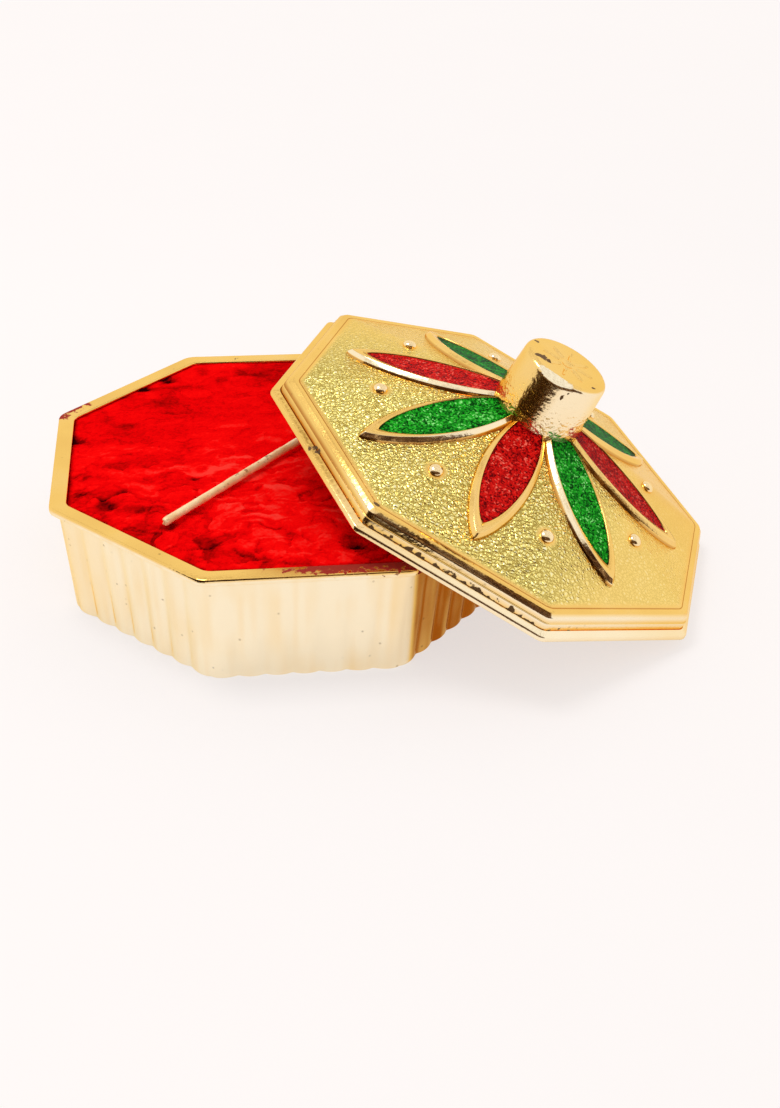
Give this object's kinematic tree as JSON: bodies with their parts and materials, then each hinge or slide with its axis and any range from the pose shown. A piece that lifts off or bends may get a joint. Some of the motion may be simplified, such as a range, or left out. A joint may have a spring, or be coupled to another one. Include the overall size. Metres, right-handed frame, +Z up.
{
  "type": "kumkum box",
  "caption": "Octagonal gold kumkum box with a ribbed wall, full of red powder with a stick on it, its domed lid with enamelled petals and a knob lying off against the rim.",
  "frame": {"origin": "middle of the base's flat underside, on the surface that the box stands on", "axes": "+Z up out of the base's mouth; +X towards the side where the lid leans; +Y to the back, square to a flat of the base"},
  "size_m": [0.0869, 0.0667, 0.0321],
  "materials": {
    "gold_base": "gloss",
    "kumkum": "matte",
    "gold_stick": "satin",
    "gold_lid": "gloss",
    "gold_knob": "gloss",
    "red_enamel": "gloss",
    "green_enamel": "gloss"
  },
  "bodies": {
    "box_body": {"base": "gold_base", "kumkum": "kumkum"},
    "lid_body": {"lid": "gold_lid", "knob": "gold_knob", "red_enamel_1": "red_enamel", "red_enamel_2": "red_enamel", "red_enamel_3": "red_enamel", "red_enamel_4": "red_enamel", "green_enamel_1": "green_enamel", "green_enamel_2": "green_enamel", "green_enamel_3": "green_enamel", "green_enamel_4": "green_enamel"},
    "stick_body": {"stick": "gold_stick"}
  },
  "joints": [
    {"name": "lid_lift", "type": "slide", "parent": "box_body", "child": "lid_body", "axis": [0, 0, 1], "range_m": [0, 0.05]},
    {"name": "stick_draw", "type": "slide", "parent": "box_body", "child": "stick_body", "axis": [-0.6436, -0.7073, 0.2924], "range_m": [0, 0.06]}
  ]
}
